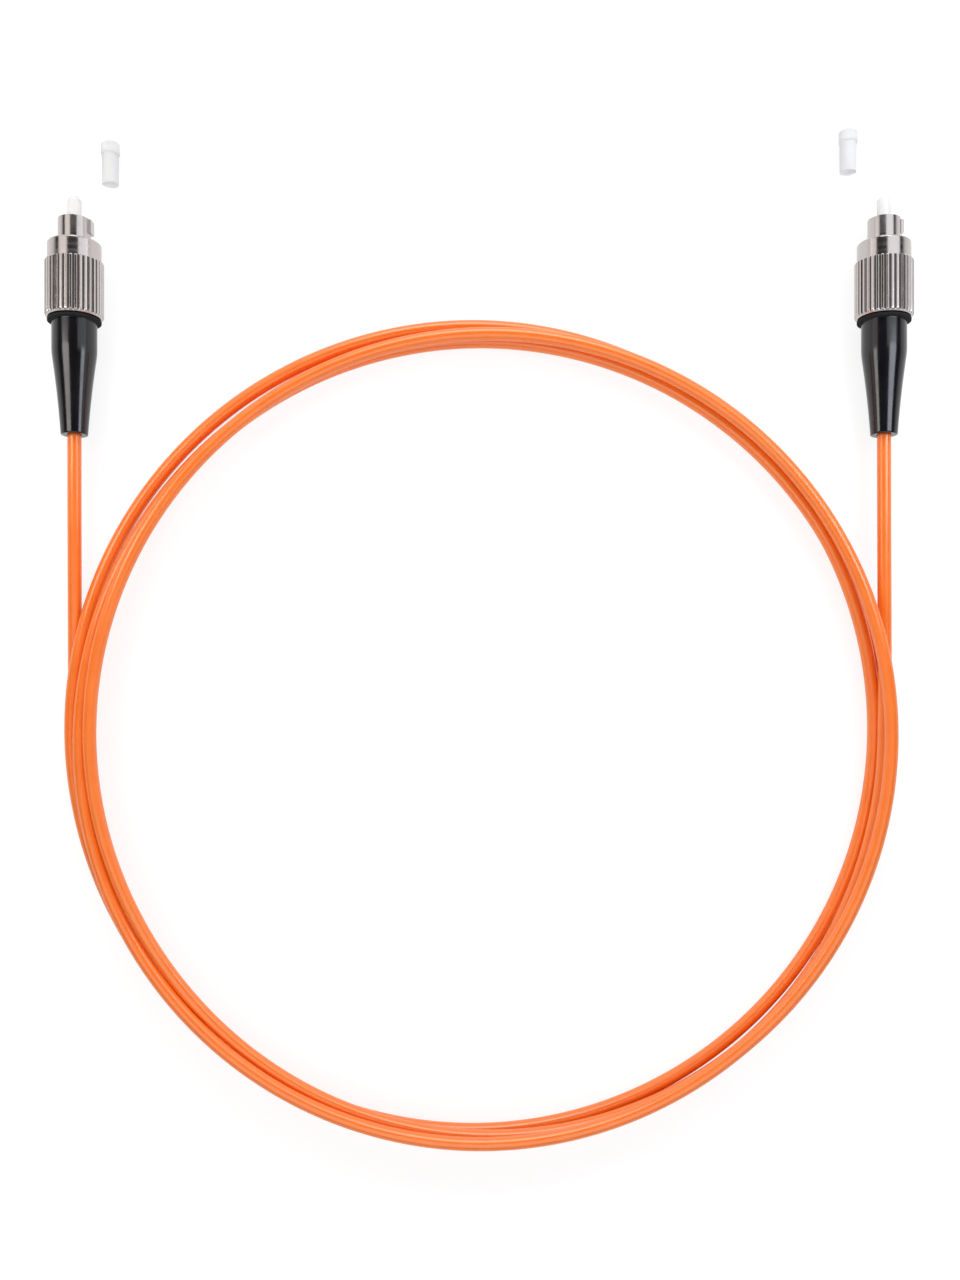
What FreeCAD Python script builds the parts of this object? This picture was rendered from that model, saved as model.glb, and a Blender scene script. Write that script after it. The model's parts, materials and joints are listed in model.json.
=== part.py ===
import FreeCAD, Part
import math
import os

import Sketcher
from FreeCAD import Placement, Rotation, Vector

# Fibre patch cord: an orange cord wound into a flat round coil, with a screw-on
# round connector at each end and the two dust caps taken off beside them.
#
# It lies on the floor z = 0, with the connectors side by side and their ferrules
# towards +Y. The origin is on the floor, midway between the connectors. Along a
# connector, a station is measured forward from the rear end of its boot.

SIZES = {
    # Where the pieces lie
    "connector_span": 141.8,
    "set_depth": 54.8,
    "cap_sideways": 5.34,
    "left_cap_setback": 2.15,
    "coil_sideways": 0.41,
    "coil_behind_boots": 52.5,
    # Cord
    "cord_diameter": 2.4,
    "coil_outer_diameter": 149.6,
    "coil_width": 7.9,
    "coil_height": 8.8,
    "coil_edge_round": 2.6,
    "jacket_setback": 0.6,
    "buffer_diameter": 0.9,
    # Boot
    "boot_length": 20.2,
    "boot_tail_diameter": 4.62,
    "boot_tail_round": 0.35,
    "boot_taper_length": 13.4,
    "boot_taper_diameter": 7.48,
    "boot_taper_hollow": 170.0,
    "boot_shoulder_length": 1.9,
    "boot_shoulder_blend": 14.0,
    "boot_diameter": 7.74,
    "boot_collar_diameter": 9.2,
    "boot_collar_thickness": 0.5,
    "boot_clearance": 0.05,
    # Coupling nut
    "nut_gap": 0.15,
    "nut_diameter": 10.0,
    "knurl_length": 9.75,
    "knurl_rear_bevel": 0.4,
    "knurl_front_bevel": 0.15,
    "flute_count": 36,
    "flute_radius": 0.27,
    "nut_nose_diameter": 9.16,
    "nut_nose_length": 3.4,
    "nut_nose_bevel": 0.25,
    "nut_bore_diameter": 7.4,
    "nut_mouth_bevel": 0.4,
    "nut_lip_thickness": 1.2,
    "nut_lip_clearance": 0.3,
    "nut_travel": 3.0,
    # Retaining ring
    "ring_thickness": 0.7,
    "ring_width": 0.95,
    "ring_play": 0.1,
    "ring_split_angle": 30.0,
    # Key barrel
    "slide_diameter": 6.0,
    "barrel_skirt": 1.5,
    "barrel_diameter": 5.6,
    "barrel_reach": 4.2,
    "barrel_front_wall": 2.3,
    "barrel_edge_bevel": 0.15,
    "shoulder_diameter": 7.0,
    "shoulder_thickness": 1.2,
    "shoulder_gap": 0.2,
    "key_width": 2.0,
    "key_height": 0.35,
    "key_length": 2.4,
    "key_setback": 0.2,
    "key_root": 0.4,
    # Ferrule and flange
    "ferrule_diameter": 2.5,
    "ferrule_length": 10.5,
    "ferrule_reach": 4.0,
    "ferrule_cone_length": 0.65,
    "ferrule_face_diameter": 1.5,
    "ferrule_float": 0.1,
    "ferrule_grip_clearance": 0.01,
    "ferrule_travel": 1.2,
    "flange_diameter": 4.0,
    "flange_thickness": 1.5,
    "flange_clearance": 0.1,
    "flange_hub_wall": 0.19,
    "flange_hub_behind": 0.9,
    "flange_tube_diameter": 2.4,
    "flange_tube_length": 4.3,
    "flange_notch_width": 0.8,
    "flange_notch_depth": 0.4,
    "flange_notch_count": 4,
    # Rear body
    "spigot_diameter": 4.6,
    "spigot_length": 4.0,
    "spigot_clearance": 0.03,
    "tube_clearance": 0.15,
    "buffer_clearance": 0.15,
    "stem_diameter": 3.5,
    "stem_length": 7.2,
    "stem_groove_count": 5,
    "stem_groove_pitch": 1.0,
    "stem_groove_depth": 0.15,
    # Spring
    "spring_wire": 0.44,
    "spring_diameter": 3.48,
    "spring_turns": 5,
    "spring_seat_gap": 0.02,
    # Crimp sleeve and yarn
    "yarn_thickness": 0.3,
    "yarn_clearance": 0.02,
    "yarn_inset": 0.3,
    "sleeve_wall": 0.3,
    "sleeve_inset": 0.2,
    "sleeve_cone_length": 0.6,
    "sleeve_neck_length": 3.6,
    "sleeve_neck_clearance": 0.03,
    # Dust cap
    "cap_length": 7.3,
    "cap_diameter": 2.9,
    "cap_head_diameter": 3.3,
    "cap_head_length": 2.0,
    "cap_head_bevel": 0.3,
    "cap_end_wall": 1.0,
    "cap_bore_clearance": 0.01,
}

# Cord tails, as route points in millimetres. The first two points of each tail
# come from its connector; these go on from there. The left tail comes down to the
# floor and starts the coil, and the right one leaves from the top of its turns.
TAIL_LEAD = 12.4
TAIL_ROUTES = {
    "left": [(-72.0, -65.4, 1.2), (-71.9, -83.4, 1.25)],
    "right": [(71.1, -65.4, 4.8), (71.0, -82.4, 5.1)],
}
ARC_SHARE = 0.45

SIDES = {"left": -1, "right": 1}


class Size:
    """A size that carries its value and the formula the document keeps for it."""

    def __init__(self, value, formula):
        self.value = value
        self.formula = formula

    @staticmethod
    def of(other):
        return other if isinstance(other, Size) else Size(other, repr(other))

    def __add__(self, other):
        other = Size.of(other)
        return Size(self.value + other.value, f"({self.formula} + {other.formula})")

    def __sub__(self, other):
        other = Size.of(other)
        return Size(self.value - other.value, f"({self.formula} - {other.formula})")

    def __mul__(self, factor):
        factor = Size.of(factor)
        return Size(self.value * factor.value, f"({self.formula} * {factor.formula})")

    def __truediv__(self, divisor):
        divisor = Size.of(divisor)
        return Size(self.value / divisor.value, f"({self.formula} / {divisor.formula})")


ZERO = Size(0.0, "0")
FULL_TURN = Size(360.0, "360")


class SizeBook:
    """Gives each cell of the sheet as a Size, by its alias."""

    def __init__(self, sheet):
        self.sheet = sheet

    def __getattr__(self, name):
        return Size(float(self.sheet.get(name)), f"Sizes.{name}")


def make_sheet(doc):
    """The sheet of driving dimensions, one alias to a row."""
    sheet = doc.addObject("Spreadsheet::Sheet", "Sizes")
    for row, (name, value) in enumerate(SIZES.items(), start=1):
        sheet.set(f"A{row}", name)
        sheet.set(f"B{row}", str(value))
        sheet.setAlias(f"B{row}", name)
    doc.recompute()
    return sheet


# Sketches


def origin_feature(body, role):
    return next(item for item in body.Origin.OriginFeatures if item.Role == role)


def new_sketch(body, plane, name):
    sketch = body.newObject("Sketcher::SketchObject", name)
    sketch.AttachmentSupport = (origin_feature(body, plane), [""])
    sketch.MapMode = "FlatFace"
    return sketch


def bind(sketch, constraint, size):
    """Adds a constraint whose value follows a formula."""
    index = sketch.addConstraint(constraint)
    sketch.setExpression(f"Constraints[{index}]", size.formula)


def place_point(sketch, geometry, end, across, along):
    """Ties a point to its distances from the sketch's two axes."""
    if across.value == 0:
        sketch.addConstraint(Sketcher.Constraint("PointOnObject", geometry, end, -2))
    else:
        bind(sketch, Sketcher.Constraint("DistanceX", -1, 1, geometry, end, across.value), across)
    if along.value == 0:
        sketch.addConstraint(Sketcher.Constraint("PointOnObject", geometry, end, -1))
    else:
        bind(sketch, Sketcher.Constraint("DistanceY", -1, 1, geometry, end, along.value), along)


def arc_between(start, end, radius, turn):
    """The short arc from start to end, its centre on the left for turn 1, on the right for -1."""
    chord = end - start
    half = chord.Length / 2
    left = Vector(-chord.y, chord.x, 0).normalize()
    centre = (start + end) * 0.5 + left * (turn * math.sqrt(radius ** 2 - half ** 2))
    first, last = (start, end) if turn > 0 else (end, start)
    angles = [math.atan2(point.y - centre.y, point.x - centre.x) for point in (first, last)]
    if angles[1] < angles[0]:
        angles[1] += 2 * math.pi
    return Part.ArcOfCircle(Part.Circle(centre, Vector(0, 0, 1), radius), *angles)


def draw_outline(sketch, outline):
    """Draws a closed outline of (radius, station) points.

    A third entry, (arc radius, turn), makes the edge that leaves the point an arc.
    """
    spots = [Vector(point[0].value, point[1].value, 0) for point in outline]
    ends = []
    for index, point in enumerate(outline):
        start = spots[index]
        end = spots[(index + 1) % len(spots)]
        if len(point) == 3:
            radius, turn = point[2]
            sketch.addGeometry(arc_between(start, end, radius.value, turn))
            ends.append((1, 2) if turn > 0 else (2, 1))
        else:
            sketch.addGeometry(Part.LineSegment(start, end))
            ends.append((1, 2))
    for index, point in enumerate(outline):
        following = (index + 1) % len(outline)
        sketch.addConstraint(
            Sketcher.Constraint("Coincident", index, ends[index][1], following, ends[following][0])
        )
        place_point(sketch, index, ends[index][0], point[0], point[1])
        if len(point) == 3:
            bind(sketch, Sketcher.Constraint("Radius", index, point[2][0].value), point[2][0])


def draw_rectangle(sketch, low, high):
    """Draws a rectangle between two corners, each a pair of sizes."""
    corners = [(low[0], low[1]), (high[0], low[1]), (high[0], high[1]), (low[0], high[1])]
    draw_outline(sketch, corners)


# Bodies


def turned_body(doc, label, outline, angle=FULL_TURN):
    """A body made by turning an outline about its own Z axis."""
    body = doc.addObject("PartDesign::Body", label)
    body.Label = label
    sketch = new_sketch(body, "XZ_Plane", f"{label}_outline")
    draw_outline(sketch, outline)
    turning = body.newObject("PartDesign::Revolution", f"{label}_turning")
    turning.Profile = sketch
    turning.ReferenceAxis = (sketch, ["V_Axis"])
    turning.setExpression("Angle", angle.formula)
    doc.recompute()
    return body


def lift_sketch(sketch, station):
    """Moves a sketch on the XY plane up the body's axis to a station."""
    sketch.setExpression("AttachmentOffset.Base.z", station.formula)


def around(doc, body, feature, count):
    """Repeats a feature evenly about the body's axis."""
    pattern = body.newObject("PartDesign::PolarPattern", f"{feature.Name}_pattern")
    pattern.Originals = [feature]
    pattern.Axis = (origin_feature(body, "Z_Axis"), [""])
    pattern.Angle = 360
    pattern.setExpression("Occurrences", count.formula)
    body.Tip = pattern
    doc.recompute()


def lay_along_y(body, across, along, height):
    """Lays a turned body down, with its axis along +Y from the given point."""
    body.Placement = Placement(
        Vector(across.value, along.value, height.value), Rotation(Vector(1, 0, 0), -90)
    )
    body.setExpression("Placement.Base.x", across.formula)
    body.setExpression("Placement.Base.y", along.formula)
    body.setExpression("Placement.Base.z", height.formula)


class Stations:
    """Stations along a connector and the radii that more than one piece shares."""

    def __init__(self, s):
        self.cord_radius = s.cord_diameter / 2
        self.slide_radius = s.slide_diameter / 2
        self.boot_front = s.boot_length
        self.nut_rear = self.boot_front + s.nut_gap
        self.knurl_front = self.nut_rear + s.knurl_length
        self.nut_front = self.knurl_front + s.nut_nose_length
        self.barrel_front = self.nut_front + s.barrel_reach
        self.ferrule_tip = self.barrel_front + s.ferrule_reach
        self.ferrule_rear = self.ferrule_tip - s.ferrule_length
        self.groove_rear = self.nut_rear + s.nut_lip_thickness
        self.ring_rear = self.groove_rear + s.ring_play
        self.ring_front = self.ring_rear + s.ring_thickness
        self.groove_front = self.ring_front + s.ring_play
        self.ring_inner = self.slide_radius + s.ring_play
        self.ring_outer = self.ring_inner + s.ring_width
        self.shoulder_rear = self.ring_front + s.nut_travel + s.shoulder_gap
        self.shoulder_front = self.shoulder_rear + s.shoulder_thickness
        self.barrel_rear = self.shoulder_rear - s.barrel_skirt
        self.spigot_front = self.barrel_rear + s.spigot_length
        self.flange_front = self.barrel_front - s.barrel_front_wall
        self.flange_rear = self.flange_front - s.flange_thickness
        self.hub_rear = self.ferrule_rear - s.flange_hub_behind
        self.hub_radius = s.ferrule_diameter / 2 + s.ferrule_grip_clearance + s.flange_hub_wall
        self.tube_rear = self.hub_rear - s.flange_tube_length
        self.tube_bore = s.buffer_diameter / 2 + s.buffer_clearance
        self.guide_radius = s.flange_tube_diameter / 2 + s.tube_clearance
        self.guide_rear = self.tube_rear - s.ferrule_travel - s.shoulder_gap
        self.buffer_front = self.ferrule_rear - s.ferrule_travel - s.shoulder_gap
        self.stem_rear = self.boot_front - s.stem_length
        self.jacket_end = self.stem_rear - s.jacket_setback
        self.yarn_inner = s.stem_diameter / 2 + s.yarn_clearance
        self.yarn_outer = self.yarn_inner + s.yarn_thickness
        self.sleeve_inner = self.yarn_outer + s.yarn_clearance
        self.sleeve_outer = self.sleeve_inner + s.sleeve_wall
        self.sleeve_step = self.stem_rear + s.sleeve_inset
        self.neck_front = self.sleeve_step - s.sleeve_cone_length
        self.neck_rear = self.neck_front - s.sleeve_neck_length
        self.neck_inner = self.cord_radius + s.sleeve_neck_clearance
        self.neck_outer = self.neck_inner + s.sleeve_wall


def boot_outline(s, at):
    """Hollow boot: tapered tail with a rounded end, straight body, thin collar at the front."""
    tail = s.boot_tail_diameter / 2
    collar_rear = at.boot_front - s.boot_collar_thickness
    cord_bore = at.cord_radius + s.boot_clearance
    neck_bore = at.neck_outer + s.boot_clearance
    sleeve_bore = at.sleeve_outer + s.boot_clearance
    neck_bore_rear = at.neck_rear - s.boot_clearance
    sleeve_bore_rear = at.neck_front - s.boot_clearance
    return [
        (cord_bore, ZERO),
        (tail - s.boot_tail_round, ZERO, (s.boot_tail_round, 1)),
        (tail, s.boot_tail_round, (s.boot_taper_hollow, -1)),
        (s.boot_taper_diameter / 2, s.boot_taper_length, (s.boot_shoulder_blend, 1)),
        (s.boot_diameter / 2, s.boot_taper_length + s.boot_shoulder_length),
        (s.boot_diameter / 2, collar_rear),
        (s.boot_collar_diameter / 2, collar_rear),
        (s.boot_collar_diameter / 2, at.boot_front),
        (sleeve_bore, at.boot_front),
        (sleeve_bore, sleeve_bore_rear),
        (neck_bore, sleeve_bore_rear),
        (neck_bore, neck_bore_rear),
        (cord_bore, neck_bore_rear),
    ]


def sleeve_outline(s, at):
    """Crimp sleeve: wide over the yarn, necked down on to the jacket."""
    front = at.boot_front - s.sleeve_inset
    return [
        (at.neck_inner, at.neck_rear),
        (at.neck_outer, at.neck_rear),
        (at.neck_outer, at.neck_front),
        (at.sleeve_outer, at.sleeve_step),
        (at.sleeve_outer, front),
        (at.sleeve_inner, front),
        (at.sleeve_inner, at.sleeve_step),
        (at.neck_inner, at.neck_front),
    ]


def tube_outline(inner, outer, rear, front):
    """A plain tube."""
    return [(inner, rear), (outer, rear), (outer, front), (inner, front)]


def rear_body_outline(s, at):
    """Rear body: grooved crimp stem, round body the nut runs on, spigot that seats the spring."""
    stem = s.stem_diameter / 2
    spigot = s.spigot_diameter / 2
    outline = [(at.tube_bore, at.stem_rear), (stem, at.stem_rear)]
    for groove in range(int(s.stem_groove_count.value)):
        start = at.stem_rear + s.stem_groove_pitch * (groove + 0.5)
        outline.append((stem, start))
        outline.append((stem - s.stem_groove_depth, start + s.stem_groove_pitch / 4))
        outline.append((stem, start + s.stem_groove_pitch / 2))
    outline += [
        (stem, at.boot_front),
        (at.slide_radius, at.boot_front),
        (at.slide_radius, at.barrel_rear),
        (spigot, at.barrel_rear),
        (spigot, at.spigot_front),
        (at.guide_radius, at.spigot_front),
        (at.guide_radius, at.guide_rear),
        (at.tube_bore, at.guide_rear),
    ]
    return outline


def barrel_outline(s, at):
    """Key barrel: skirt, shoulder for the nut's ring, long front with the ferrule's hole."""
    outer = s.barrel_diameter / 2
    bevel = s.barrel_edge_bevel
    cavity = s.flange_diameter / 2 + s.flange_clearance
    spigot_bore = s.spigot_diameter / 2 + s.spigot_clearance
    spigot_room = at.spigot_front + s.flange_clearance
    hole = s.ferrule_diameter / 2 + s.ferrule_float
    return [
        (spigot_bore, at.barrel_rear),
        (at.slide_radius, at.barrel_rear),
        (at.slide_radius, at.shoulder_rear),
        (s.shoulder_diameter / 2, at.shoulder_rear),
        (s.shoulder_diameter / 2, at.shoulder_front),
        (outer, at.shoulder_front),
        (outer, at.barrel_front - bevel),
        (outer - bevel, at.barrel_front),
        (hole, at.barrel_front),
        (hole, at.flange_front),
        (cavity, at.flange_front),
        (cavity, spigot_room),
        (spigot_bore, spigot_room),
    ]


def ferrule_outline(s, at):
    """Ferrule: plain rod with a coned tip and a flat polished face."""
    radius = s.ferrule_diameter / 2
    return [
        (ZERO, at.ferrule_rear),
        (radius, at.ferrule_rear),
        (radius, at.ferrule_tip - s.ferrule_cone_length),
        (s.ferrule_face_diameter / 2, at.ferrule_tip),
        (ZERO, at.ferrule_tip),
    ]


def flange_outline(s, at):
    """Flange: collar that seats in the barrel, hub on the ferrule, tube for the buffered fibre."""
    grip = s.ferrule_diameter / 2 + s.ferrule_grip_clearance
    tube = s.flange_tube_diameter / 2
    return [
        (at.tube_bore, at.tube_rear),
        (tube, at.tube_rear),
        (tube, at.hub_rear),
        (at.hub_radius, at.hub_rear),
        (at.hub_radius, at.flange_rear),
        (s.flange_diameter / 2, at.flange_rear),
        (s.flange_diameter / 2, at.flange_front),
        (grip, at.flange_front),
        (grip, at.ferrule_rear),
        (at.tube_bore, at.ferrule_rear),
    ]


def nut_outline(s, at):
    """Coupling nut: knurled grip, smooth nose, open bore, groove for the ring and a rear lip."""
    grip = s.nut_diameter / 2
    nose = s.nut_nose_diameter / 2
    bore = s.nut_bore_diameter / 2
    groove = at.ring_outer + s.ring_play
    lip = at.slide_radius + s.nut_lip_clearance
    return [
        (lip, at.nut_rear),
        (grip - s.knurl_rear_bevel, at.nut_rear),
        (grip, at.nut_rear + s.knurl_rear_bevel),
        (grip, at.knurl_front - s.knurl_front_bevel),
        (grip - s.knurl_front_bevel, at.knurl_front),
        (nose, at.knurl_front),
        (nose, at.nut_front - s.nut_nose_bevel),
        (nose - s.nut_nose_bevel, at.nut_front),
        (bore + s.nut_mouth_bevel, at.nut_front),
        (bore, at.nut_front - s.nut_mouth_bevel),
        (bore, at.groove_front),
        (groove, at.groove_front),
        (groove, at.groove_rear),
        (lip, at.groove_rear),
    ]


def cap_outline(s):
    """Dust cap: thin tube, open at station 0, with a wider bevelled head at its closed end."""
    bore = s.ferrule_diameter / 2 + s.cap_bore_clearance
    body = s.cap_diameter / 2
    head = s.cap_head_diameter / 2
    head_rear = s.cap_length - s.cap_head_length
    bore_end = s.cap_length - s.cap_end_wall
    return [
        (bore, ZERO),
        (body, ZERO),
        (body, head_rear),
        (head, head_rear),
        (head, s.cap_length - s.cap_head_bevel),
        (head - s.cap_head_bevel, s.cap_length),
        (ZERO, s.cap_length),
        (ZERO, bore_end),
        (bore, bore_end),
    ]


# Features cut into or added to turned bodies


def cut_flutes(doc, s, at, nut):
    """Straight knurl: one round flute, with a land kept at each quarter, repeated round the grip."""
    sketch = new_sketch(nut, "XY_Plane", f"{nut.Name}_flute_outline")
    lift_sketch(sketch, at.knurl_front)
    half_pitch = 180 / s.flute_count.value
    radius = s.nut_diameter.value / 2
    centre = Vector(
        radius * math.cos(math.radians(half_pitch)), radius * math.sin(math.radians(half_pitch)), 0
    )
    turn = "180 deg / Sizes.flute_count"
    across = Size(centre.x, f"Sizes.nut_diameter / 2 * cos({turn})")
    along = Size(centre.y, f"Sizes.nut_diameter / 2 * sin({turn})")
    circle = sketch.addGeometry(
        Part.Circle(centre, Vector(0, 0, 1), s.flute_radius.value)
    )
    place_point(sketch, circle, 3, across, along)
    bind(sketch, Sketcher.Constraint("Radius", circle, s.flute_radius.value), s.flute_radius)
    flute = nut.newObject("PartDesign::Pocket", f"{nut.Name}_flute")
    flute.Profile = sketch
    flute.setExpression("Length", s.knurl_length.formula)
    doc.recompute()
    around(doc, nut, flute, s.flute_count)


def add_key(doc, s, at, barrel):
    """Key: a short rib on the barrel's +X side, just behind its front edge."""
    radius = s.barrel_diameter / 2
    half_width = s.key_width / 2
    key_front = at.barrel_front - s.key_setback
    sketch = new_sketch(barrel, "XY_Plane", f"{barrel.Name}_key_outline")
    lift_sketch(sketch, key_front - s.key_length)
    draw_rectangle(
        sketch, (radius - s.key_root, ZERO - half_width), (radius + s.key_height, half_width)
    )
    key = barrel.newObject("PartDesign::Pad", f"{barrel.Name}_key")
    key.Profile = sketch
    key.setExpression("Length", s.key_length.formula)
    doc.recompute()


def cut_notches(doc, s, at, flange):
    """Notches round the flange's collar, by which it is turned to its best place."""
    radius = s.flange_diameter / 2
    half_width = s.flange_notch_width / 2
    sketch = new_sketch(flange, "XY_Plane", f"{flange.Name}_notch_outline")
    lift_sketch(sketch, at.flange_front)
    draw_rectangle(
        sketch,
        (radius - s.flange_notch_depth, ZERO - half_width),
        (radius + s.flange_notch_depth, half_width),
    )
    notch = flange.newObject("PartDesign::Pocket", f"{flange.Name}_notch")
    notch.Profile = sketch
    notch.setExpression("Length", s.flange_thickness.formula)
    doc.recompute()
    around(doc, flange, notch, s.flange_notch_count)


def make_spring(doc, s, at, label):
    """Coil spring between the spigot and the flange's collar."""
    body = doc.addObject("PartDesign::Body", label)
    body.Label = label
    wire = s.spring_wire / 2
    low = at.spigot_front + wire + s.spring_seat_gap
    high = at.flange_rear - wire - s.spring_seat_gap
    height = high - low
    sketch = new_sketch(body, "XZ_Plane", f"{label}_section")
    centre = Vector(s.spring_diameter.value / 2, low.value, 0)
    circle = sketch.addGeometry(Part.Circle(centre, Vector(0, 0, 1), wire.value))
    place_point(sketch, circle, 3, s.spring_diameter / 2, low)
    bind(sketch, Sketcher.Constraint("Radius", circle, wire.value), wire)
    coil = body.newObject("PartDesign::AdditiveHelix", f"{label}_coil")
    coil.Profile = sketch
    coil.ReferenceAxis = (sketch, ["V_Axis"])
    coil.Mode = "height-turns-angle"
    coil.setExpression("Height", height.formula)
    coil.setExpression("Turns", s.spring_turns.formula)
    doc.recompute()
    return body


# Cord


def make_coil(doc, s):
    """The coil's outer shape: a flat ring with rounded edges."""
    outer = s.coil_outer_diameter / 2
    inner = outer - s.coil_width
    edge = s.coil_edge_round
    top = s.coil_height
    coil = turned_body(
        doc,
        "cord_coil",
        [
            (inner + edge, ZERO),
            (outer - edge, ZERO, (edge, 1)),
            (outer, edge),
            (outer, top - edge, (edge, 1)),
            (outer - edge, top),
            (inner + edge, top, (edge, 1)),
            (inner, top - edge),
            (inner, edge, (edge, 1)),
        ],
    )
    across = s.coil_sideways
    along = ZERO - s.set_depth / 2 - s.coil_behind_boots
    coil.setExpression("Placement.Base.x", across.formula)
    coil.setExpression("Placement.Base.y", along.formula)
    return coil


def rounded_path(points):
    """Straight runs joined by tangent arcs, with the arcs' radii."""
    edges = []
    radii = []
    start = points[0]
    for before, corner, after in zip(points, points[1:], points[2:]):
        back = before - corner
        ahead = after - corner
        cut = ARC_SHARE * min(back.Length, ahead.Length)
        turn = math.pi - back.getAngle(ahead)
        radius = cut / math.tan(turn / 2)
        into = corner + back.normalize() * cut
        out = corner + ahead.normalize() * cut
        bisector = (back + ahead).normalize()
        middle = corner + bisector * (radius / math.cos(turn / 2) - radius)
        edges.append(Part.LineSegment(start, into).toShape())
        edges.append(Part.Arc(into, middle, out).toShape())
        radii.append(radius)
        start = out
    edges.append(Part.LineSegment(start, points[-1]).toShape())
    return Part.Wire(edges), radii


def make_tail(doc, s, at, side):
    """A cord tail: a tube from inside the boot, down to the floor and into the coil."""
    across = SIDES[side] * s.connector_span.value / 2
    boot_rear = -s.set_depth.value / 2
    height = s.nut_diameter.value / 2
    radius = at.cord_radius.value
    inside = Vector(across, boot_rear + at.jacket_end.value, height)
    outside = Vector(across, boot_rear - TAIL_LEAD, height)
    points = [inside, outside] + [Vector(*point) for point in TAIL_ROUTES[side]]
    path, radii = rounded_path(points)
    section = Part.Wire(Part.Circle(inside, outside - inside, radius).toShape())
    tail = doc.addObject("Part::Feature", f"{side}_tail")
    tail.Label = f"{side}_tail"
    tail.Shape = path.makePipeShell([section], True, True)
    tail.Placement = Placement()
    expected = math.pi * radius ** 2 * path.Length
    print(
        f"{tail.Label}: radii {[round(radius_mm, 1) for radius_mm in radii]} mm, "
        f"length {path.Length:.1f} mm, volume {tail.Shape.Volume:.2f} of {expected:.2f} mm3"
    )
    return tail


# Assembly


def make_connector(doc, s, at, side):
    """All the pieces of one end, with the dust cap that lies beside it."""
    sign = SIDES[side]
    across = s.connector_span / 2 * sign
    along = ZERO - s.set_depth / 2
    height = s.nut_diameter / 2
    outlines = {
        "boot": boot_outline(s, at),
        "crimp_sleeve": sleeve_outline(s, at),
        "aramid_yarn": tube_outline(
            at.yarn_inner, at.yarn_outer, at.sleeve_step, at.boot_front - s.yarn_inset
        ),
        "fibre_buffer": [
            (ZERO, at.jacket_end),
            (s.buffer_diameter / 2, at.jacket_end),
            (s.buffer_diameter / 2, at.buffer_front),
            (ZERO, at.buffer_front),
        ],
        "rear_body": rear_body_outline(s, at),
        "key_barrel": barrel_outline(s, at),
        "ferrule": ferrule_outline(s, at),
        "ferrule_flange": flange_outline(s, at),
        "coupling_nut": nut_outline(s, at),
    }
    pieces = {name: turned_body(doc, f"{side}_{name}", line) for name, line in outlines.items()}
    pieces["retaining_ring"] = turned_body(
        doc,
        f"{side}_retaining_ring",
        tube_outline(at.ring_inner, at.ring_outer, at.ring_rear, at.ring_front),
        FULL_TURN - s.ring_split_angle,
    )
    pieces["ferrule_spring"] = make_spring(doc, s, at, f"{side}_ferrule_spring")
    cut_flutes(doc, s, at, pieces["coupling_nut"])
    add_key(doc, s, at, pieces["key_barrel"])
    cut_notches(doc, s, at, pieces["ferrule_flange"])
    for piece in pieces.values():
        lay_along_y(piece, across, along, height)

    cap = turned_body(doc, f"{side}_dust_cap", cap_outline(s))
    cap_across = (s.connector_span / 2 - s.cap_sideways) * sign
    cap_along = s.set_depth / 2 - s.cap_length
    if side == "left":
        cap_along = cap_along - s.left_cap_setback
    lay_along_y(cap, cap_across, cap_along, s.cap_head_diameter / 2)
    return list(pieces.values()) + [cap]


def check_document(doc, parts):
    """Stops if any object failed or any piece is not one sound solid."""
    for item in doc.Objects:
        if "Invalid" in item.State or "Error" in item.State:
            raise RuntimeError(f"{item.Name} failed: {item.State}")
    for part in parts:
        shape = part.Shape
        if shape.isNull() or not shape.isValid():
            raise RuntimeError(f"{part.Label} has no sound shape")
        if len(shape.Solids) != 1:
            raise RuntimeError(f"{part.Label} has {len(shape.Solids)} solids")


def main():
    doc = FreeCAD.newDocument("patch_cord")
    s = SizeBook(make_sheet(doc))
    at = Stations(s)
    parts = []
    for side in SIDES:
        parts += make_connector(doc, s, at, side)
        parts.append(make_tail(doc, s, at, side))
    parts.append(make_coil(doc, s))
    doc.recompute()
    check_document(doc, parts)
    os.makedirs("parts", exist_ok=True)
    for part in parts:
        part.Shape.exportStep(f"parts/{part.Label}.step")
    print(f"{len(parts)} pieces written")


main()
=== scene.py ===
# %% [markdown]
# # A fibre patch cord on a white table
#
# This lesson dresses a CAD model of a fibre patch cord: an orange cord wound into a flat coil, with
# a screw-on round connector at each end and two dust caps beside them. The CAD model is the frame.
# It says where every piece is and how it moves, and nothing here moves it. Each visible piece is a
# surface worked out with numpy, laid over the CAD piece that it stands for.

# %% Load the frame
import json

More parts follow.
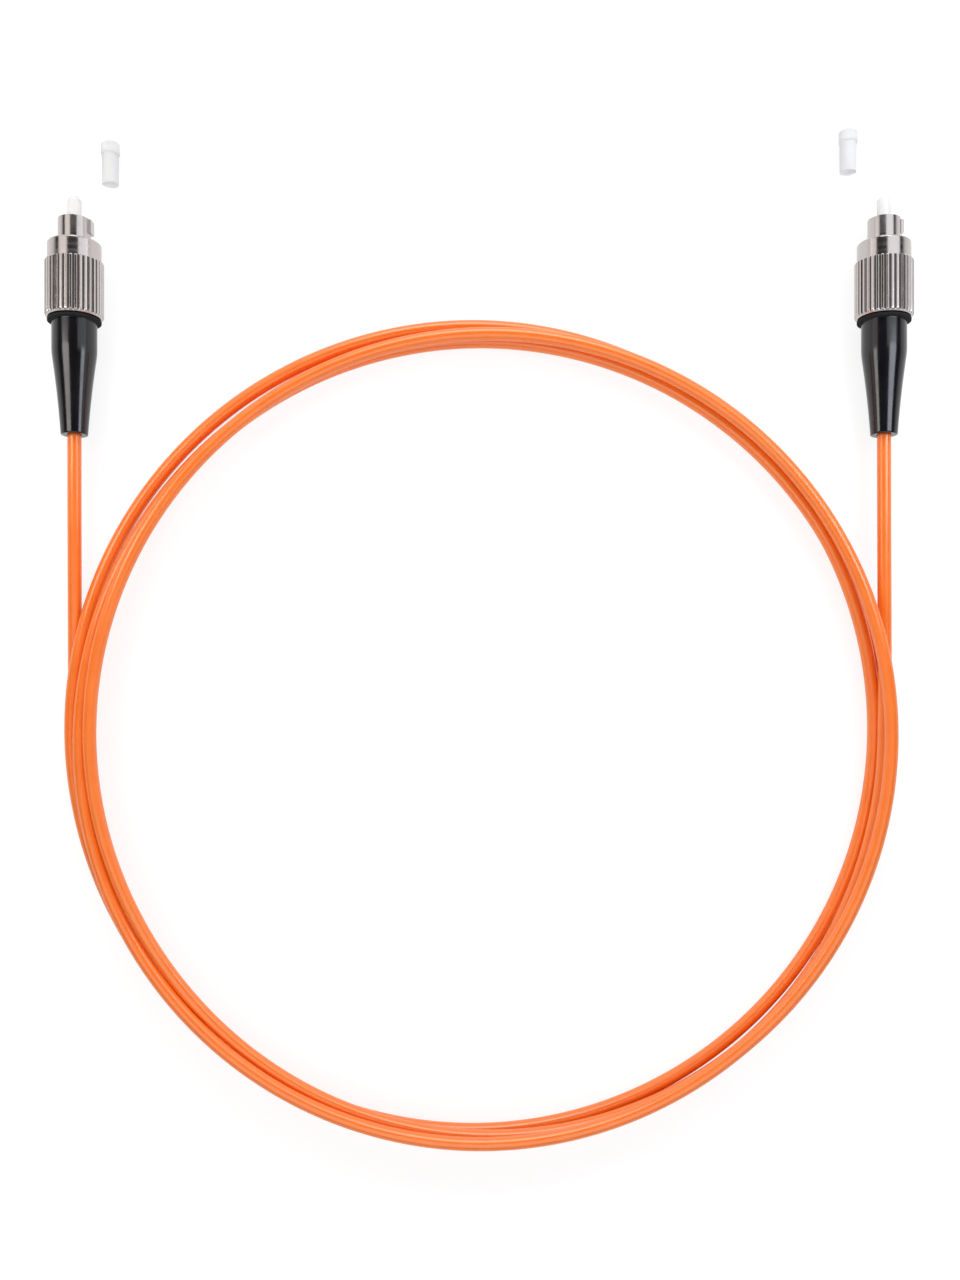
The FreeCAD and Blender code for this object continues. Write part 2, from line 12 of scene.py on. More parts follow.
import bmesh
import bpy
import numpy as np
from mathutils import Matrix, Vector


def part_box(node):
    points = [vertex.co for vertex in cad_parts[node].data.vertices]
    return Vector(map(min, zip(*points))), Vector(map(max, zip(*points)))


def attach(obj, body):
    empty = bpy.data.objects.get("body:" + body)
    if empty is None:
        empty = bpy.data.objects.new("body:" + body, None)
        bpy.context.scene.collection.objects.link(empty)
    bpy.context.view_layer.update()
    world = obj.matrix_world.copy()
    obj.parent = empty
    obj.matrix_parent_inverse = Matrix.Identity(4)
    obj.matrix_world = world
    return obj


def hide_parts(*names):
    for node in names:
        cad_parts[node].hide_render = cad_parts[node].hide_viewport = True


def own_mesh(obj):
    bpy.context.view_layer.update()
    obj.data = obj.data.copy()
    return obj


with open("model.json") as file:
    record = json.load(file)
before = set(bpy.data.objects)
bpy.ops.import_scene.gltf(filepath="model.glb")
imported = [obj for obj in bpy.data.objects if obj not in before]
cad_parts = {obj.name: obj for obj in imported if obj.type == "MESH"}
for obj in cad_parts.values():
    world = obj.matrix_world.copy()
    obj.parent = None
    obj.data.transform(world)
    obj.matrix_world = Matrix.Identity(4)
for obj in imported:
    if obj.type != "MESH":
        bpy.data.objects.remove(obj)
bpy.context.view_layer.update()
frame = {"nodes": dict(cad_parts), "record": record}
scene = bpy.context.scene
MM = 0.001

# %% [markdown]
# ## Where the camera stands
#
# The picture looks straight down on the coil, which shows as a circle. The connectors show a little
# of their rear ends, so the camera stands close, over the middle of the coil, and sees the
# connectors at a slant. The coil sits below the middle of the picture: that is a shift of the lens,
# as a view camera has, and not a turn of the camera, which would make the coil an oval.

# %% Camera
COIL_CENTRE = np.array([0.41, -79.9])
CAMERA_HEIGHT = 229.2
CAMERA_ACROSS = 0.14
LENS = 36
SENSOR = 36
NEAREST_SEEN = 0.01
PICTURE_PIXELS = 1280
COIL_PIXELS_DOWN = 95

camera_data = bpy.data.cameras.new("camera")
camera_data.lens = LENS
camera_data.sensor_width = SENSOR
camera_data.shift_y = COIL_PIXELS_DOWN / PICTURE_PIXELS
camera_data.clip_start = NEAREST_SEEN
camera = bpy.data.objects.new("camera", camera_data)
camera.location = np.array([CAMERA_ACROSS, COIL_CENTRE[1], CAMERA_HEIGHT]) * MM
scene.collection.objects.link(camera)
scene.camera = camera
scene.view_settings.view_transform = "Standard"
print("camera at", [round(value, 4) for value in camera.location])

# %% [markdown]
# ## The cord's route
#
# The cord is one length of jacketed fibre. It leaves the left boot, drops to the table, goes round
# three and a half times and runs up to the right boot. Seen from above, the turns follow three
# circles that are set off from one another, so they cross in shallow angles and leave two slim
# white gaps. The turns could be simulated, but the circles are plain to see, so a formula gives
# them: a mean radius plus a small cosine for the way that each circle is set off.

# %% Tracks of the turns, seen from above
CORD_DIAMETER = 2.4
CORD_RADIUS = CORD_DIAMETER / 2
MEAN_RADIUS = 71.55
# Each circle: how far it is set off in millimetres, and in which direction in degrees.
OUTER_LEFT = (1.96, 143.0)
LOWER = (1.37, 265.0)
OUTER_RIGHT = (1.49, 358.0)
# Each stretch of the winding: its first and last angle in degrees, and its circle.
WINDING = [
    (180.0, 391.0, LOWER),
    (391.0, 751.0, OUTER_LEFT),
    (751.0, 1030.0, LOWER),
    (1030.0, 1390.0, OUTER_RIGHT),
    (1390.0, 1440.0, LOWER),
]
STEP = 5.0
STEPS_A_TURN = int(360 / STEP)
LEAD = 20.0
LEFT_LINE = 72.42
RIGHT_LINE = 71.78
EASE = 40.0
SWAP_ANGLE = 1299.0
SWAP_ROOM = 0.45
SWAP_WIDTH = 30.0


def smooth_step(value):
    """Goes from 0 to 1 with no corner: 3 t squared minus 2 t cubed."""
    t = np.clip(value, 0, 1)
    return t * t * (3 - 2 * t)


def track_radius(angle):
    """Radius seen from above: mean plus offset times the cosine of the angle from its direction.

    The two ends ease into the straight lines of the tails, and the cord steps in a little where
    the stretch that lies on top ends.
    """
    start, end = WINDING[0][0], WINDING[-1][1]
    inside = np.clip(angle, start, end)
    radius = np.zeros_like(angle)
    for first, last, (offset, direction) in WINDING:
        here = (inside >= first) & (inside <= last)
        radius[here] = MEAN_RADIUS + offset * np.cos(np.radians(inside[here] - direction))
    came_in = smooth_step((angle - start) / EASE)
    going_out = smooth_step((angle - end + EASE) / EASE)
    radius = LEFT_LINE + (radius - LEFT_LINE) * came_in
    radius = radius + (RIGHT_LINE - radius) * going_out
    radius = np.where(angle < start, LEFT_LINE / np.cos(np.radians(angle - start)), radius)
    radius = np.where(angle > end, RIGHT_LINE / np.cos(np.radians(angle - end)), radius)
    return radius - SWAP_ROOM * np.exp(-(((angle - SWAP_ANGLE) / SWAP_WIDTH) ** 2))


winding_angle = np.arange(WINDING[0][0] - LEAD, WINDING[-1][1] + LEAD + STEP / 2, STEP)
seen_radius = track_radius(winding_angle)
print("turns", (WINDING[-1][1] - WINDING[0][0]) / 360, "points", len(winding_angle))

# %% [markdown]
# ## Turns that rest on each other
#
# Two strands of cord can't share a place, so where the circles cross, the later strand climbs over
# the earlier one. Each strand's height is the height of what it rests on, plus what two round cords
# need at that sideways distance. A strand that lies higher is nearer to the camera, and shows
# further out, so it leans in by that much. The heights are then widened and averaged, because a
# stiff cord makes a long low hump. A few rounds of this settle the whole pile.

# %% Heights of the turns
LEAN = MEAN_RADIUS / (CAMERA_HEIGHT - CORD_RADIUS)
# Between these angles the cord lies on top, even of what is wound after it.
LAID_LAST = (900.0, SWAP_ANGLE)
REACH = 2
SETTLING_ROUNDS = 12


def climb(gap):
    """Rise of a cord over its neighbour: the height that keeps their middles one diameter apart."""
    square = 1 + LEAN ** 2
    room = np.maximum(CORD_DIAMETER ** 2 * square - gap ** 2, 0)
    return (LEAN * gap + np.sqrt(room)) / square


def hump(height):
    """Widens each rise by REACH points and averages over as many, so nothing gets lower."""
    padded = np.pad(height, REACH, mode="edge")
    widest = np.lib.stride_tricks.sliding_window_view(padded, 2 * REACH + 1).max(axis=1)
    padded = np.pad(widest, REACH, mode="edge")
    return np.lib.stride_tricks.sliding_window_view(padded, 2 * REACH + 1).mean(axis=1)


def settle(angle, radius):
    """Heights of the strands, each resting on those laid before it."""
    on_top = (angle >= LAID_LAST[0]) & (angle < LAID_LAST[1])
    order = angle + np.where(on_top, angle[-1], 0)
    height = np.full_like(angle, CORD_RADIUS)
    for _ in range(SETTLING_ROUNDS):
        lifted = np.full_like(angle, CORD_RADIUS)
        for shift in range(STEPS_A_TURN, len(angle), STEPS_A_TURN):
            first, second = slice(0, -shift), slice(shift, None)
            gap = radius[second] - radius[first]
            near = np.abs(gap) < CORD_DIAMETER
            over = order[second] > order[first]
            rise = np.where(near & over, height[first] + climb(gap), 0)
            lifted[second] = np.maximum(lifted[second], rise)
            rise = np.where(near & ~over, height[second] + climb(-gap), 0)
            lifted[first] = np.maximum(lifted[first], rise)
        height = hump(lifted)
    return height


strand_height = settle(winding_angle, seen_radius)
strand_radius = seen_radius - LEAN * (strand_height - CORD_RADIUS)
turn = np.radians(winding_angle)
turns = np.stack(
    [
        COIL_CENTRE[0] + strand_radius * np.cos(turn),
        COIL_CENTRE[1] + strand_radius * np.sin(turn),
        strand_height,
    ],
    axis=1,
)
wound = (winding_angle >= WINDING[0][0]) & (winding_angle <= WINDING[-1][1])
print("coil height", round(float(strand_height.max() + CORD_RADIUS), 2), "mm")
print("coil radii", round(float(strand_radius[wound].min() - CORD_RADIUS), 2),
      round(float(strand_radius[wound].max() + CORD_RADIUS), 2), "mm")

# %% [markdown]
# ## One smooth curve
#
# A NURBS curve of order 3 passes smoothly by its points and needs no rounding of corners. Its first
# and last points are the tails' routes, the same points that the CAD model has, and the turns lie
# between them. A round bevel makes it a tube.

# %% Cord
LEFT_TAIL = [(-70.9, -15.0, 5.0), (-70.9, -39.8, 5.0), (-72.0, -65.4, 1.2)]
RIGHT_TAIL = [(71.1, -65.4, 4.8), (70.9, -39.8, 5.0), (70.9, -15.0, 5.0)]
BEVEL_STEPS = 7
STEPS_A_POINT = 4


def make_cord(name, route):
    """A round cord along a NURBS curve with the route as its control points.

    The bevel is one unit, and each point's radius brings it down to the cord's own radius.
    """
    curve = bpy.data.curves.new(name, "CURVE")
    curve.dimensions = "3D"
    curve.bevel_depth = 1.0
    curve.bevel_resolution = BEVEL_STEPS
    curve.resolution_u = STEPS_A_POINT
    curve.use_fill_caps = True
    spline = curve.splines.new("NURBS")
    spline.points.add(len(route) - 1)
    points = np.ones((len(route), 4))
    points[:, :3] = route * MM
    spline.points.foreach_set("co", points.ravel())
    spline.points.foreach_set("radius", np.full(len(route), CORD_RADIUS * MM))
    spline.order_u = 3
    spline.use_endpoint_u = True
    piece = bpy.data.objects.new(name, curve)
    scene.collection.objects.link(piece)
    return piece


cord_route = np.concatenate([LEFT_TAIL, turns[wound], RIGHT_TAIL])
cord = make_cord("fibre_cord", cord_route)
cord_length = np.linalg.norm(np.diff(cord_route, axis=0), axis=1).sum() * MM
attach(cord, "cord_set")
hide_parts("left_tail", "right_tail", "cord_coil")
dressed = [(cord, "orange_jacket")]
print("cord route", round(float(cord_length), 3), "m")

# %% [markdown]
# ## Turned pieces
#
# Nearly every piece of the connectors is turned on a lathe or comes out of a round mould, so one
# helper serves them all. A cylinder with bevels could do, but an outline drawn as radius against
# station gives every step and lip at once. A station is measured forward from the rear end of the
# boot. Each corner of the outline is rounded a little, because a real edge is never quite sharp and
# the thin bright line along it is what makes metal look like metal.

# %% Outlines
CORNER_STEPS = 4
CORNER_SHARE = 0.3
GUARD = 1.5
SAME_PLACE = 1e-6
# How much of a corner is cut away, in millimetres.
BEVEL_FOOT = 0.03
TOOL_CORNER = 0.04
BORE_EDGE = 0.05
RIM_EDGE = 0.06
TURNED_EDGE = 0.08
ROD_EDGE = 0.1
COLLAR_EDGE = 0.12
WORN_EDGE = 0.15
SOFT_EDGE = 0.2
TAIL_EDGE = 0.4


def soften(corners, closed=True):
    """Rounds an outline of (radius, station, cut) corners.

    Each corner becomes a quadratic curve between two points that lie its cut away on either side.
    A guard point half a cut further out keeps the flat stretches flat under smooth shading.
    """
    corners = np.array(corners, float)
    if closed:
        corners = np.concatenate([corners[-1:], corners, corners[:1]])
    middle = corners[1:-1, :2]
    back = corners[:-2, :2] - middle
    ahead = corners[2:, :2] - middle
    back_length = np.linalg.norm(back, axis=1, keepdims=True)
    ahead_length = np.linalg.norm(ahead, axis=1, keepdims=True)
    cut = np.minimum(corners[1:-1, 2:], CORNER_SHARE * np.minimum(back_length, ahead_length))
    back = back / back_length * cut
    ahead = ahead / ahead_length * cut
    t = np.linspace(0, 1, CORNER_STEPS + 1)[:, None, None]
    bend = middle + (1 - t) ** 2 * back + t ** 2 * ahead
    rows = np.concatenate([[middle + GUARD * back], bend, [middle + GUARD * ahead]])
    rows = rows.transpose(1, 0, 2).reshape(-1, 2)
    if not closed:
        rows = np.concatenate([corners[:1, :2], rows, corners[-1:, :2]])
    moved = np.linalg.norm(rows - np.roll(rows, 1, axis=0), axis=1) > SAME_PLACE
    return rows[moved]


def curve_rows(radius, station):
    """Outline points along a curve that is smooth already, so nothing is cut at them."""
    return np.stack([radius, station, np.zeros_like(station)], axis=1).tolist()


print("points at a rounded corner", CORNER_STEPS + 3)


# %% Surfaces
def grid_faces(index):
    """Four-sided faces over a grid of vertex numbers whose columns go round."""
    right = np.roll(index, -1, axis=1)
    return np.stack([index[:-1], right[:-1], right[1:], index[1:]], axis=-1).reshape(-1, 4)


def skin_piece(name, grid, poles):
    """Closed surface over a grid of points in millimetres whose columns go round.

    The last row joins the first one, or with poles the first and last rows are single points.
    """
    grid = grid * MM
    columns = grid.shape[1]
    if poles:
        inner = grid[1:-1].reshape(-1, 3)
        points = np.concatenate([grid[0, :1], inner, grid[-1, :1]])
        index = 1 + np.arange(len(inner)).reshape(-1, columns)
        right = np.roll(index, -1, axis=1)
        rear_pole = np.full(columns, 0)
        front_pole = np.full(columns, len(points) - 1)
        faces = grid_faces(index).tolist()
        faces += np.stack([rear_pole, right[0], index[0]], axis=1).tolist()
        faces += np.stack([index[-1], right[-1], front_pole], axis=1).tolist()
    else:
        points = grid.reshape(-1, 3)
        index = np.arange(len(points)).reshape(-1, columns)
        faces = grid_faces(np.concatenate([index, index[:1]])).tolist()
    mesh = bpy.data.meshes.new(name)
    mesh.from_pydata(points.tolist(), [], faces)
    mesh.polygons.foreach_set("use_smooth", np.ones(len(faces), bool))
    piece = bpy.data.objects.new(name, mesh)
    scene.collection.objects.link(piece)
    return piece


def turned_piece(name, radius, station, angle, foot, poles=False):
    """Surface x = radius sin(angle), y = station, z = radius cos(angle), moved to its foot.

    Rows follow the outline and columns go round the axis.
    """
    radius, station, angle = np.broadcast_arrays(radius, station, angle)
    grid = np.stack([radius * np.sin(angle), station, radius * np.cos(angle)], axis=-1)
    return skin_piece(name, grid + foot, poles)


def round_angles(columns):
    """Evenly spaced angles once round, from the top towards +X."""
    return np.linspace(0, 2 * np.pi, columns, endpoint=False)


def plain_turned(name, rows, columns, foot, poles=False):
    """A turned piece whose outline is the same all round."""
    return turned_piece(name, rows[:, :1], rows[:, 1:], round_angles(columns), foot, poles)


# %% Pieces on the frame
def measure(piece):
    """Prints a piece's triangles and its volume, which is positive when its faces point out."""
    solid = bmesh.new()
    solid.from_mesh(piece.data)
    volume = solid.calc_volume(signed=True) / MM ** 3
    solid.free()
    triangles = sum(len(face.vertices) - 2 for face in piece.data.polygons)
    print(piece.name, "triangles", triangles, "volume", round(volume, 2), "mm3")


def dress(piece, body, node, slot):
    """Lets a piece move with its body and stand for its CAD node, and notes its finish."""
    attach(piece, body)
    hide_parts(node)
    dressed.append((piece, slot))
    measure(piece)


def foot_of(side):
    """The point on a connector's axis where stations start, from the CAD boxes."""
    nut_low, nut_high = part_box(f"{side}_coupling_nut")
    boot_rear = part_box(f"{side}_boot")[0].y
    return np.array([(nut_low.x + nut_high.x) / 2, boot_rear, (nut_low.z + nut_high.z) / 2]) / MM


SIDES = ("left", "right")
FEET = {side: foot_of(side) for side in SIDES}
print("connector feet", {side: foot.round(2).tolist() for side, foot in FEET.items()})

# %% [markdown]
# ## Boots
#
# The boot is one soft black moulding: a slim tail that widens in a slightly hollow taper, a short
# straight body and a thin collar that the nut comes up to. The taper is a straight line less a
# small parabola, and a second parabola runs it out into the straight body without a corner. The
# boot is hollow for the cord and the crimp sleeve, so the outline goes back through the inside.

# %% Boots
BOOT_LENGTH = 20.2
BOOT_TAIL = 2.31
BOOT_TAPER_END = (3.74, 13.4)
BOOT_HOLLOW = 0.126
BOOT_BODY = (3.87, 15.3)
BOOT_COLLAR = 4.6
BOOT_COLLAR_THICKNESS = 0.5
BOOT_BORES = [(2.44, 12.55), (1.58, 8.95), (1.25, 0.0)]
BOOT_COLUMNS = 96
TAPER_ROWS = 20
RUN_OUT_ROWS = 8


def boot_outline():
    """Tail, hollow taper, run-out, body and collar, then back through the three bores."""
    t = np.linspace(0, 1, TAPER_ROWS)[1:]
    taper = BOOT_TAIL + (BOOT_TAPER_END[0] - BOOT_TAIL) * t - 4 * BOOT_HOLLOW * t * (1 - t)
    u = np.linspace(0, 1, RUN_OUT_ROWS)[1:]
    run_out = BOOT_BODY[0] - (BOOT_BODY[0] - BOOT_TAPER_END[0]) * (1 - u) ** 2
    collar_rear = BOOT_LENGTH - BOOT_COLLAR_THICKNESS
    (sleeve, sleeve_rear), (neck, neck_rear), (cord_bore, tail_rear) = BOOT_BORES
    corners = [(cord_bore, tail_rear, ROD_EDGE), (BOOT_TAIL, 0.0, TAIL_EDGE)]
    corners += curve_rows(taper, BOOT_TAPER_END[1] * t)
    corners += curve_rows(run_out, BOOT_TAPER_END[1] + (BOOT_BODY[1] - BOOT_TAPER_END[1]) * u)
    corners += [
        (BOOT_BODY[0], collar_rear, WORN_EDGE),
        (BOOT_COLLAR, collar_rear, COLLAR_EDGE),
        (BOOT_COLLAR, BOOT_LENGTH, COLLAR_EDGE),
        (sleeve, BOOT_LENGTH, TURNED_EDGE),
        (sleeve, sleeve_rear, BORE_EDGE),
        (neck, sleeve_rear, BORE_EDGE),
        (neck, neck_rear, BORE_EDGE),
        (cord_bore, neck_rear, BORE_EDGE),
    ]
    return soften(corners)


boot_rows = boot_outline()
for side in SIDES:
    boot = plain_turned(f"{side}_boot_skin", boot_rows, BOOT_COLUMNS, FEET[side])
    dress(boot, "cord_set", f"{side}_boot", "black_boot")

# %% [markdown]
# ## Coupling nuts
#
# The nut has thirty-six straight flutes, so that fingers can turn it, a smooth nose, and an M8 fine
# thread inside. Cutting the flutes with booleans would leave ragged faces. Here the radius is a
# function of both angle and station: the smaller of the turned outline and the distance to the
# nearest flute's round floor. A smooth minimum rounds the ridges, as rolling and plating do. The
# thread is a triangle wave of angle and station, right-handed, which fades out at both ends.

# %% Flutes and thread
FLUTES = 36
FLUTE_PITCH = 2 * np.pi / FLUTES
FLUTE_RADIUS = 0.24
RIDGE_ROUNDING = 0.1
COLUMNS_A_FLUTE = 14
NUT_RADIUS = 5.0
THREAD_PITCH = 0.75
THREAD_DEPTH = 0.28
ROWS_A_THREAD = 8


def smooth_min(first, second, width):
    """The smaller of two values, blended over a width: a mix less width times share times rest."""
    share = np.clip(0.5 + 0.5 * (second - first) / width, 0, 1)
    return second + (first - second) * share - width * share * (1 - share)


def flute_radius(angle):
    """Distance from the axis to the floor of the nearest flute, a circle centred on the nut's rim.

    Outside the flute the same root, with its sign turned, carries the surface up and away.
    """
    offset = (angle % FLUTE_PITCH) - FLUTE_PITCH / 2
    inside = FLUTE_RADIUS ** 2 - (NUT_RADIUS * np.sin(offset)) ** 2
    return NUT_RADIUS * np.cos(offset) - np.sign(inside) * np.sqrt(np.abs(inside))


def thread_height(station, angle, start, end):
    """Triangle wave that moves one pitch forward in a turn, faded over one pitch at both ends."""
    phase = (station / THREAD_PITCH - angle / (2 * np.pi)) % 1
    wave = 1 - np.abs(2 * phase - 1)
    come = smooth_step((station - start) / THREAD_PITCH)
    go = smooth_step((end - station) / THREAD_PITCH)
    return THREAD_DEPTH * wave * (come * go)


print("flutes every", round(NUT_RADIUS * FLUTE_PITCH, 3), "mm")

# %% Nuts
NUT_REAR = 20.35
KNURL_FRONT = 30.1
NUT_FRONT = 33.5
NOSE_RADIUS = 4.58
NUT_BORE = 3.7
MOUTH_BEVEL = 0.4
LIP_RADIUS = 3.3
RING_GROOVE = (4.15, 21.55, 22.45)
KNURL_BEVEL = 0.4
NOSE_BEVEL = 0.25
THREAD_REACH = 6.4


def nut_outline():
    """Rear lip, knurled grip, step, nose and mouth, then back along the bore to the ring groove."""
    groove, groove_rear, groove_front = RING_GROOVE
    thread_rows = int((THREAD_REACH - MOUTH_BEVEL) / THREAD_PITCH * ROWS_A_THREAD)
    bore_station = np.linspace(NUT_FRONT - MOUTH_BEVEL, NUT_FRONT - THREAD_REACH, thread_rows)[1:]
    corners = [
        (LIP_RADIUS, NUT_REAR, TURNED_EDGE),
        (NUT_RADIUS - KNURL_BEVEL, NUT_REAR, WORN_EDGE),
        (NUT_RADIUS, NUT_REAR + KNURL_BEVEL, SOFT_EDGE),
        (NUT_RADIUS, KNURL_FRONT, WORN_EDGE),
        (NOSE_RADIUS, KNURL_FRONT, TOOL_CORNER),
        (NOSE_RADIUS, NUT_FRONT - NOSE_BEVEL, RIM_EDGE),
        (NOSE_RADIUS - NOSE_BEVEL, NUT_FRONT, RIM_EDGE),
        (NUT_BORE + MOUTH_BEVEL, NUT_FRONT, BORE_EDGE),
        (NUT_BORE, NUT_FRONT - MOUTH_BEVEL, BORE_EDGE),
    ]
    corners += curve_rows(np.full_like(bore_station, NUT_BORE), bore_station)
    corners += [
        (NUT_BORE, groove_front, TOOL_CORNER),
        (groove, groove_front, TOOL_CORNER),
        (groove, groove_rear, TOOL_CORNER),
        (LIP_RADIUS, groove_rear, TOOL_CORNER),
    ]
    return soften(corners)


nut_rows = nut_outline()
nut_angle = round_angles(FLUTES * COLUMNS_A_FLUTE)
outline_radius, nut_station = nut_rows[:, :1], nut_rows[:, 1:]
knurled = smooth_min(outline_radius, flute_radius(nut_angle), RIDGE_ROUNDING)
nut_radius = np.where(nut_station < KNURL_FRONT + SAME_PLACE, knurled, outline_radius)
in_bore = np.abs(outline_radius - NUT_BORE) < SAME_PLACE
thread = thread_height(nut_station, nut_angle, NUT_FRONT - THREAD_REACH, NUT_FRONT - MOUTH_BEVEL)
nut_radius = nut_radius + np.where(in_bore, thread, 0)
groove_depth = np.clip((outline_radius - nut_radius) / FLUTE_RADIUS, 0, 1)


def store_depth(piece, depth):
    """Keeps a value from 0 to 1 on each vertex: how far down a groove it lies."""
    layer = piece.data.attributes.new("groove", "FLOAT", "POINT")
    layer.data.foreach_set("value", depth.astype(np.float32).ravel())


for side in SIDES:
    nut = turned_piece(f"{side}_nut_skin", nut_radius, nut_station, nut_angle, FEET[side])
    store_depth(nut, groove_depth)
    dress(nut, f"{side}_nut_unit", f"{side}_coupling_nut", "nickel")

# %% [markdown]
# ## Key barrels
#
# The barrel is the tube that guides the ferrule, and its small key stops it turning in the socket.
# The key is a plain block on the side of a round bar, so as a radius against angle it is the nearer
# of its flat top and its two side walls, where that is further out than the bar.

# %% Barrels
BARREL_REAR = 24.05
SLIDE_RADIUS = 3.0
SHOULDER = (3.5, 25.55, 26.75)
BARREL_RADIUS = 2.8
BARREL_FRONT = 37.7
BARREL_BEVEL = 0.15
BARREL_COLUMNS = 96
FERRULE_HOLE = 1.35
FLANGE_ROOM = (2.1, 35.4)
SPIGOT_BORE = (2.33, 28.15)
KEY_TOP = 3.15
KEY_HALF_WIDTH = 1.0
KEY_SPAN = (35.1, 37.5)
KEY_EDGE = 0.06
KEY_END_ROWS = 7
KEY_WALL_COLUMNS = 9
KEY_CORNER = np.arctan2(KEY_HALF_WIDTH, KEY_TOP)
KEY_FOOT = np.arcsin(KEY_HALF_WIDTH / BARREL_RADIUS)


def barrel_outline():
    """Skirt, shoulder and front, then back through the ferrule's hole and the wider rooms."""
    shoulder, shoulder_rear, shoulder_front = SHOULDER
    eased = np.linspace(-1, 1, KEY_END_ROWS)
    guarded = np.concatenate([[-GUARD], eased, [GUARD]])
    ends = np.array(KEY_SPAN)[:, None] + KEY_EDGE * guarded
    key_station = np.sort(ends.ravel())
    corners = [
        (SPIGOT_BORE[0], BARREL_REAR, BORE_EDGE),
        (SLIDE_RADIUS, BARREL_REAR, TURNED_EDGE),
        (SLIDE_RADIUS, shoulder_rear, TOOL_CORNER),
        (shoulder, shoulder_rear, TURNED_EDGE),
        (shoulder, shoulder_front, TURNED_EDGE),
        (BARREL_RADIUS, shoulder_front, TOOL_CORNER),
    ]
    corners += curve_rows(np.full_like(key_station, BARREL_RADIUS), key_station)
    corners += [
        (BARREL_RADIUS, BARREL_FRONT - BARREL_BEVEL / 2, BEVEL_FOOT),
        (BARREL_RADIUS - BARREL_BEVEL, BARREL_FRONT, BORE_EDGE),
        (FERRULE_HOLE, BARREL_FRONT, BORE_EDGE),
        (FERRULE_HOLE, FLANGE_ROOM[1], BORE_EDGE),
        (FLANGE_ROOM[0], FLANGE_ROOM[1], BORE_EDGE),
        (FLANGE_ROOM[0], SPIGOT_BORE[1], BORE_EDGE),
        (SPIGOT_BORE[0], SPIGOT_BORE[1], BORE_EDGE),
    ]
    return soften(corners)


def key_height(station, angle):
    """How far the key stands out of the bar, eased over its front and rear edges.

    The flat top is its height over the cosine, and a side wall the half width over the sine.
    """
    turned = angle - np.pi / 2
    top = KEY_TOP / np.maximum(np.cos(turned), SAME_PLACE)
    wall = KEY_HALF_WIDTH / np.maximum(np.abs(np.sin(turned)), SAME_PLACE)
    block = smooth_min(top, wall, KEY_EDGE)
    out = np.where(np.cos(turned) > 0, np.maximum(block - BARREL_RADIUS, 0), 0)
    rear, front = KEY_SPAN
    ease = smooth_step((station - rear + KEY_EDGE) / (2 * KEY_EDGE))
    ease = ease * smooth_step((front + KEY_EDGE - station) / (2 * KEY_EDGE))
    return out * ease


barrel_rows = barrel_outline()
wall_angles = np.linspace(KEY_CORNER - KEY_EDGE, KEY_FOOT + KEY_EDGE / 4, KEY_WALL_COLUMNS)
key_angles = np.concatenate([np.pi / 2 + wall_angles, np.pi / 2 - wall_angles])
barrel_angle = np.unique(np.concatenate([round_angles(BARREL_COLUMNS), key_angles]))
barrel_radius, barrel_station = barrel_rows[:, :1], barrel_rows[:, 1:]
on_bar = np.abs(barrel_radius - BARREL_RADIUS) < SAME_PLACE
keyed = barrel_radius + np.where(on_bar, key_height(barrel_station, barrel_angle), 0)
for side in SIDES:
    barrel = turned_piece(f"{side}_barrel_skin", keyed, barrel_station, barrel_angle, FEET[side])
    dress(barrel, "cord_set", f"{side}_key_barrel", "nickel")

# %% [markdown]
# ## Ferrules
#
# The ferrule is a ground ceramic rod with a coned tip and a face that is polished to a very slight
# dome. It ends on its own axis, so its outline runs from one point on the axis to another.

# %% Ferrules
FERRULE_RADIUS = 1.25
FERRULE_SPAN = (31.2, 41.7)
FERRULE_CONE = 0.65
FACE_RADIUS = 0.75
FACE_ROWS = 6
DOME_RADIUS = 20.0
ROUND_COLUMNS = 64

face_across = np.linspace(1, 0, FACE_ROWS)[:-1] * FACE_RADIUS
dome_drop = DOME_RADIUS - np.sqrt(DOME_RADIUS ** 2 - face_across ** 2)
ferrule_rear, ferrule_tip = FERRULE_SPAN
ferrule_rows = soften(
    [
        (0, ferrule_rear, 0),
        (FERRULE_RADIUS, ferrule_rear, ROD_EDGE),
        (FERRULE_RADIUS, ferrule_tip - FERRULE_CONE, WORN_EDGE),
        (FACE_RADIUS, ferrule_tip - dome_drop[0], TURNED_EDGE),
        *curve_rows(face_across[1:], ferrule_tip - dome_drop[1:]),
        (0, ferrule_tip, 0),
    ],
    closed=False,
)
for side in SIDES:
    ferrule = plain_turned(f"{side}_ferrule_skin", ferrule_rows, ROUND_COLUMNS, FEET[side], poles=True)
    dress(ferrule, f"{side}_ferrule_unit", f"{side}_ferrule", "ceramic")

# %% [markdown]
# ## Ferrule springs
#
# Behind each ferrule's flange sits a coil spring. It is hidden in the barrel, and it has to shorten
# when the ferrule is pressed back, which a rigid CAD piece can't. Here it is a tube along a helix that
# fills the CAD spring's box, with a mesh of its own.

# %% Springs
WIRE_RADIUS = 0.22
SPRING_TURNS = 5
RINGS_A_TURN = 28
WIRE_SIDES = 12


